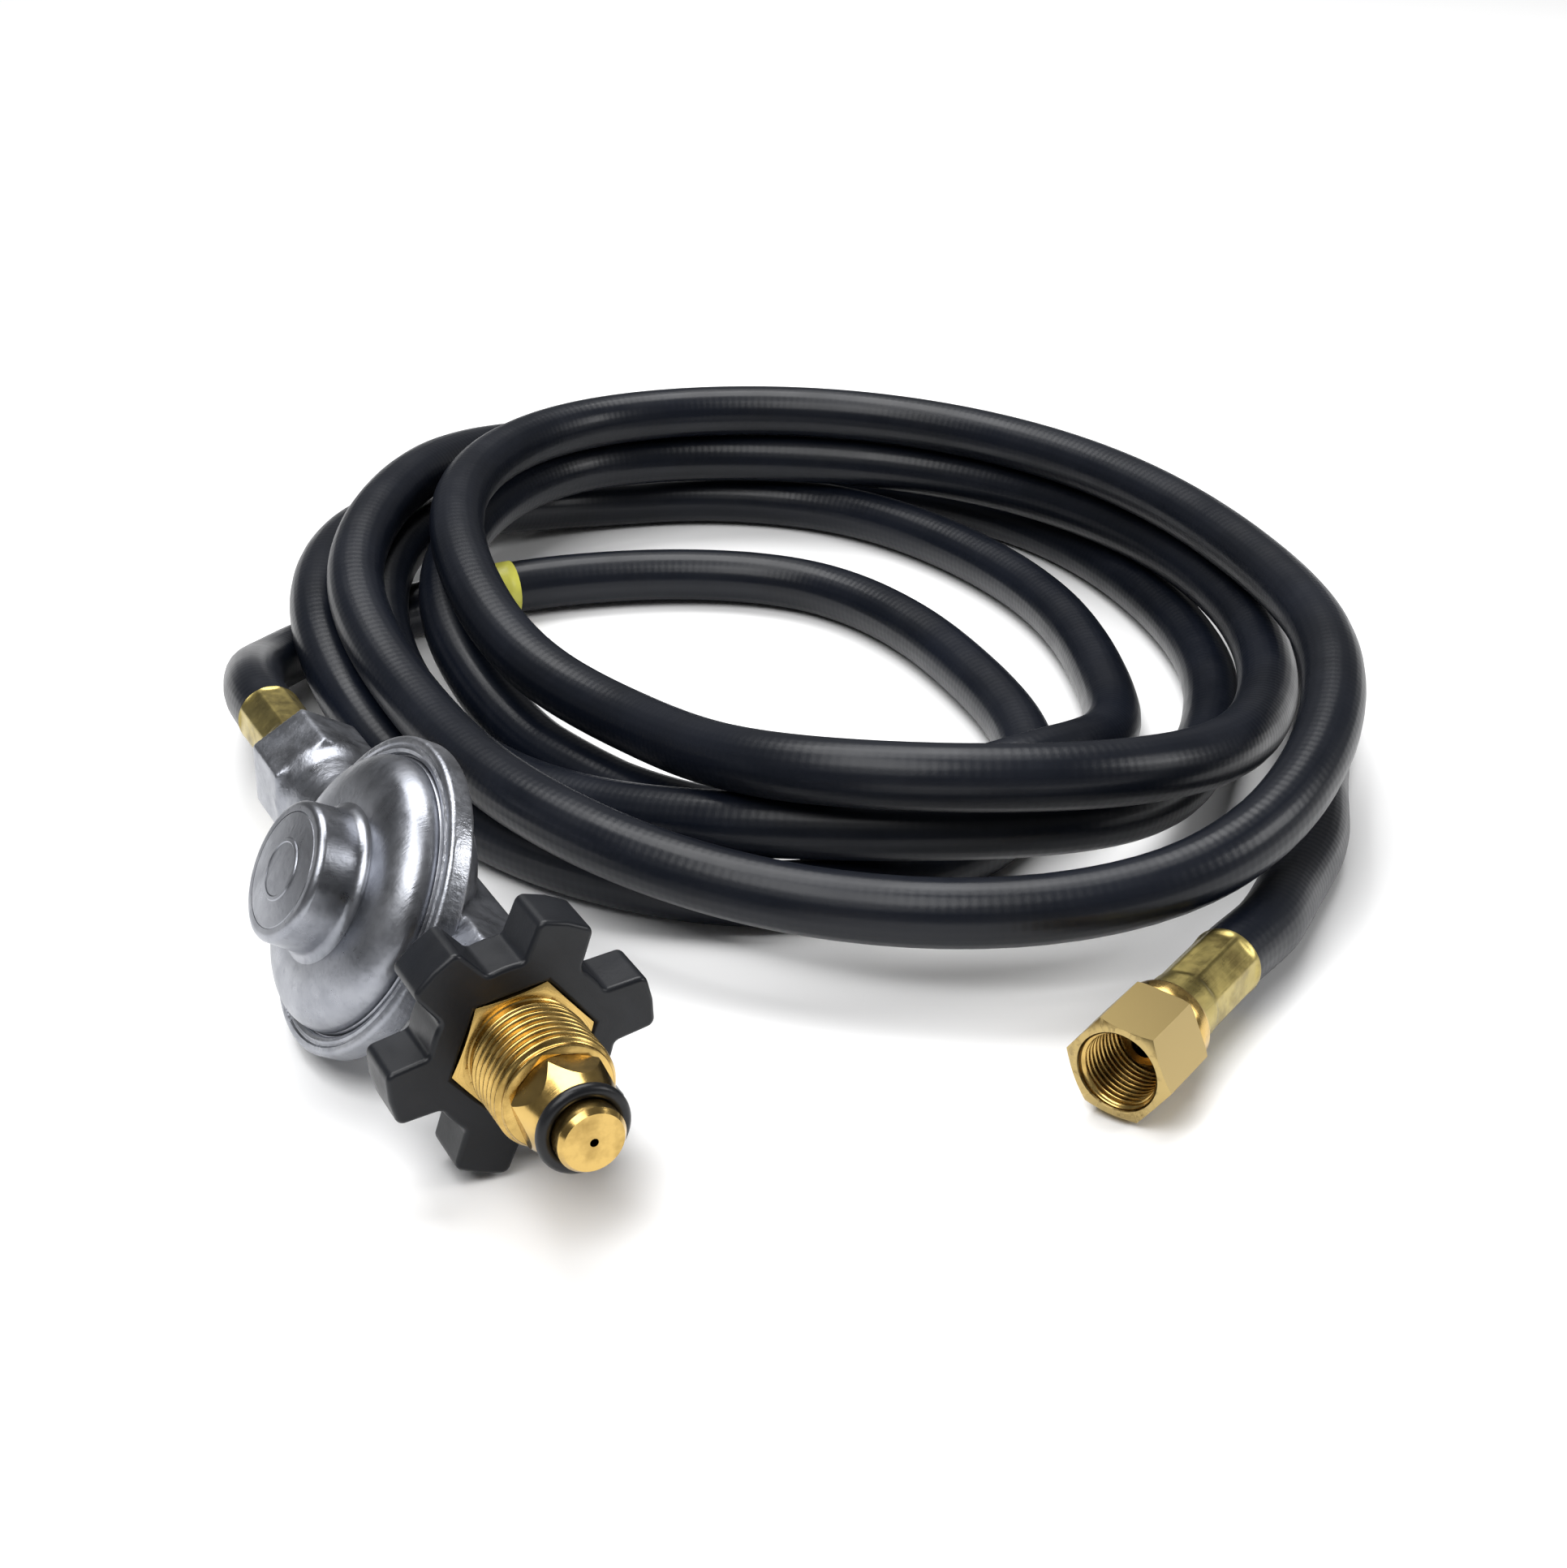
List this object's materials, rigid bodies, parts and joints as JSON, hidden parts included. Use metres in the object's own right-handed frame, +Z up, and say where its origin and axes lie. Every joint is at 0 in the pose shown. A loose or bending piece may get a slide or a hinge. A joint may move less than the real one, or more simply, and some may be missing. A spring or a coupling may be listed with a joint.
{
  "type": "propane regulator hose",
  "caption": "Low-pressure gas regulator with a hand-turned cylinder connection, on a long loosely coiled rubber hose that ends in a swivel flare nut.",
  "frame": {"origin": "on the surface it lies on, under the middle of the regulator's box with its cylinder connection", "axes": "+Z up; the cylinder connection points along -Y; the coil lies towards +X and +Y"},
  "size_m": [0.3142, 0.3669, 0.0595],
  "materials": {
    "zinc": "satin die-cast zinc",
    "brass": "machined brass",
    "crimped_brass": "dull crimped brass",
    "steel": "zinc-plated steel",
    "nitrile": "smooth black nitrile",
    "hose_rubber": "satin black rubber over braid",
    "black_plastic": "satin moulded plastic",
    "yellow_tag": "yellow vinyl band"
  },
  "bodies": {
    "root": {"regulator_body": "zinc", "regulator_cover": "zinc", "tower_cap": "zinc", "adjusting_screw": "steel", "main_spring": "steel", "diaphragm": "nitrile", "lever_pin": "steel", "inlet_orifice": "brass", "inlet_filter": "steel", "vent_screen": "steel", "pol_nipple": "brass", "nose_o_ring": "nitrile", "outlet_stem": "brass", "regulator_ferrule": "crimped_brass", "hose_tails": "hose_rubber", "hose": "hose_rubber", "hose_tag": "yellow_tag", "far_ferrule": "crimped_brass", "flare_stem": "brass"},
    "plunger": {"diaphragm_plate": "steel", "diaphragm_post": "brass"},
    "lever_arm": {"lever": "steel"},
    "valve": {"valve_holder": "brass", "seat_pad": "nitrile"},
    "hand_nut": {"pol_nut": "brass", "handwheel": "black_plastic"},
    "swivel_nut": {"flare_nut": "brass"}
  },
  "joints": [
    {"name": "handwheel_turn", "type": "hinge", "parent": "root", "child": "hand_nut", "pos_m": [0.0035, -0.0575, 0.0255], "axis": [0, -1, 0], "continuous": true},
    {"name": "flare_nut_turn", "type": "hinge", "parent": "root", "child": "swivel_nut", "pos_m": [0.1485, -0.075, 0.011], "axis": [-0.8746, -0.4848, 0], "continuous": true},
    {"name": "diaphragm_slide", "type": "slide", "parent": "root", "child": "plunger", "axis": [-0.8572, 0, 0.515], "range_m": [0, 0.0015], "deforming": ["main_spring", "diaphragm"]},
    {"name": "lever_tilt", "type": "hinge", "parent": "root", "child": "lever_arm", "pos_m": [0.00821, -0.0155, 0.02267], "axis": [0.515, 0, 0.8572], "range_deg": [0, 9.6]},
    {"name": "valve_slide", "type": "slide", "parent": "root", "child": "valve", "axis": [0, -1, 0], "range_m": [0, 0.00093]}
  ],
  "couplings": [
    {"joint": "lever_tilt", "follows": "diaphragm_slide", "rad_per_m": 111.11},
    {"joint": "valve_slide", "follows": "diaphragm_slide", "ratio": 0.6111}
  ]
}
